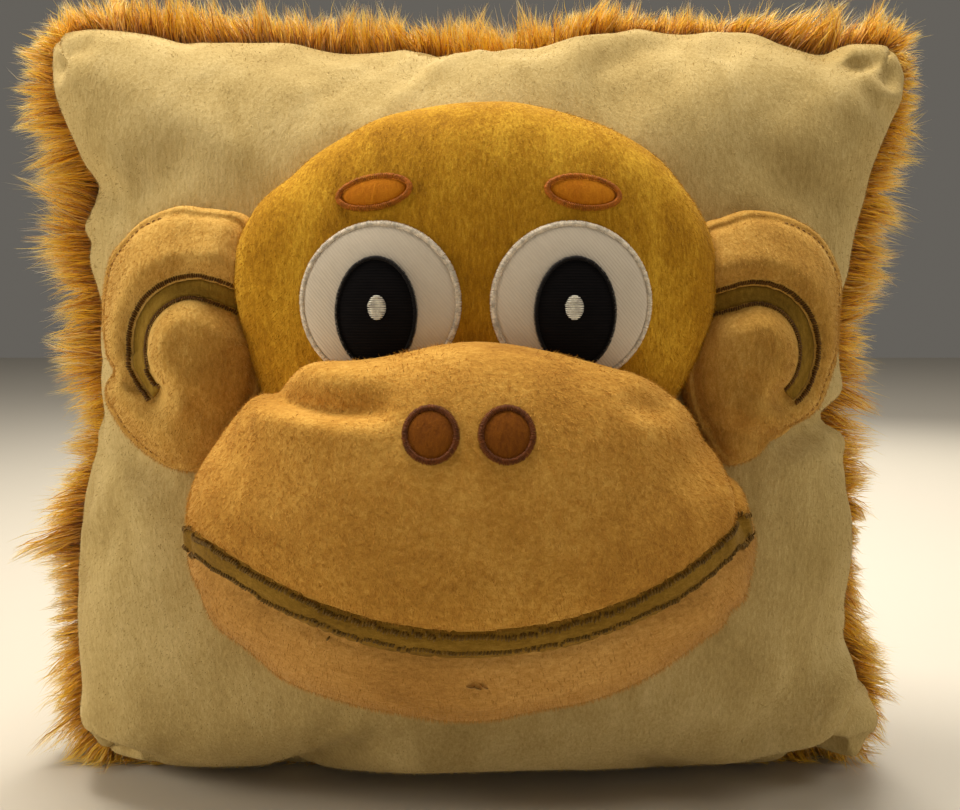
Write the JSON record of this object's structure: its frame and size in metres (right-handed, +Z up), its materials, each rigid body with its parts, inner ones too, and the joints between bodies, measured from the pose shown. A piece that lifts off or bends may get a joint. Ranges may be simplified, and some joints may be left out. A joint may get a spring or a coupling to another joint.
{
  "type": "plush face cushion",
  "caption": "Square stuffed cushion with a padded animal face, two padded ears and long pile on the back.",
  "frame": {"origin": "centre of the footprint, on the surface the cushion stands on", "axes": "+Z up, the face looks toward -Y, +X to the right as seen from in front of the face"},
  "size_m": [0.4, 0.2459, 0.3594],
  "materials": {
    "panel_plush": "short pile plush, sage beige",
    "back_cloth": "knitted backing of the fur fabric",
    "long_pile": "long faux fur, golden orange with pale tips",
    "fibre_filling": "polyester fibre filling",
    "head_plush": "short plush, mustard brown",
    "muzzle_plush": "short plush, camel",
    "lip_plush": "short plush, pinkish camel",
    "band_plush": "short plush, olive brown",
    "dark_thread": "dark topstitching thread",
    "tan_thread": "tan thread",
    "nostril_thread": "red brown satin stitch",
    "nostril_plush": "short plush, rust brown",
    "eye_cloth": "fine twill, off white",
    "white_thread": "off white satin stitch",
    "black_satin": "black satin stitch",
    "brow_thread": "orange satin stitch",
    "brow_plush": "short plush, orange brown",
    "ear_plush": "short plush, peach tan"
  },
  "bodies": {
    "cushion": {"front_panel": "panel_plush", "back_panel": "back_cloth", "back_pile": "long_pile", "cushion_filling": "fibre_filling", "head_panel": "head_plush", "head_filling": "fibre_filling", "muzzle_panel_upper": "muzzle_plush", "muzzle_panel_lower": "lip_plush", "muzzle_filling": "fibre_filling", "mouth_band": "band_plush", "mouth_stitch_upper": "dark_thread", "mouth_stitch_lower": "dark_thread", "chin_tack": "tan_thread", "nostril_left": "nostril_plush", "nostril_right": "nostril_plush", "nostril_stitch_left": "nostril_thread", "nostril_stitch_right": "nostril_thread", "eye_white_left": "eye_cloth", "eye_white_right": "eye_cloth", "eye_stitch_left": "white_thread", "eye_stitch_right": "white_thread", "pupil_left": "black_satin", "pupil_right": "black_satin", "eye_highlight_left": "white_thread", "eye_highlight_right": "white_thread", "brow_left": "brow_plush", "brow_right": "brow_plush", "brow_stitch_left": "brow_thread", "brow_stitch_right": "brow_thread"},
    "ear_left": {"ear_front_left": "ear_plush", "ear_back_left": "ear_plush", "ear_filling_left": "fibre_filling", "ear_band_left": "band_plush", "ear_band_stitch_outer_left": "dark_thread", "ear_band_stitch_inner_left": "dark_thread", "ear_edge_seam_left": "ear_plush"},
    "ear_right": {"ear_front_right": "ear_plush", "ear_back_right": "ear_plush", "ear_filling_right": "fibre_filling", "ear_band_right": "band_plush", "ear_band_stitch_outer_right": "dark_thread", "ear_band_stitch_inner_right": "dark_thread", "ear_edge_seam_right": "ear_plush"}
  },
  "joints": [
    {"name": "ear_left_fold", "type": "hinge", "parent": "cushion", "child": "ear_left", "pos_m": [-0.1015, -0.03945, 0.201], "axis": [0.0906, 0, 0.9959], "range_deg": [0, 70], "stiffness_Nm_per_rad": 0.05},
    {"name": "ear_right_fold", "type": "hinge", "parent": "cushion", "child": "ear_right", "pos_m": [0.1015, -0.03945, 0.201], "axis": [0.0906, 0, -0.9959], "range_deg": [0, 70], "stiffness_Nm_per_rad": 0.05}
  ]
}
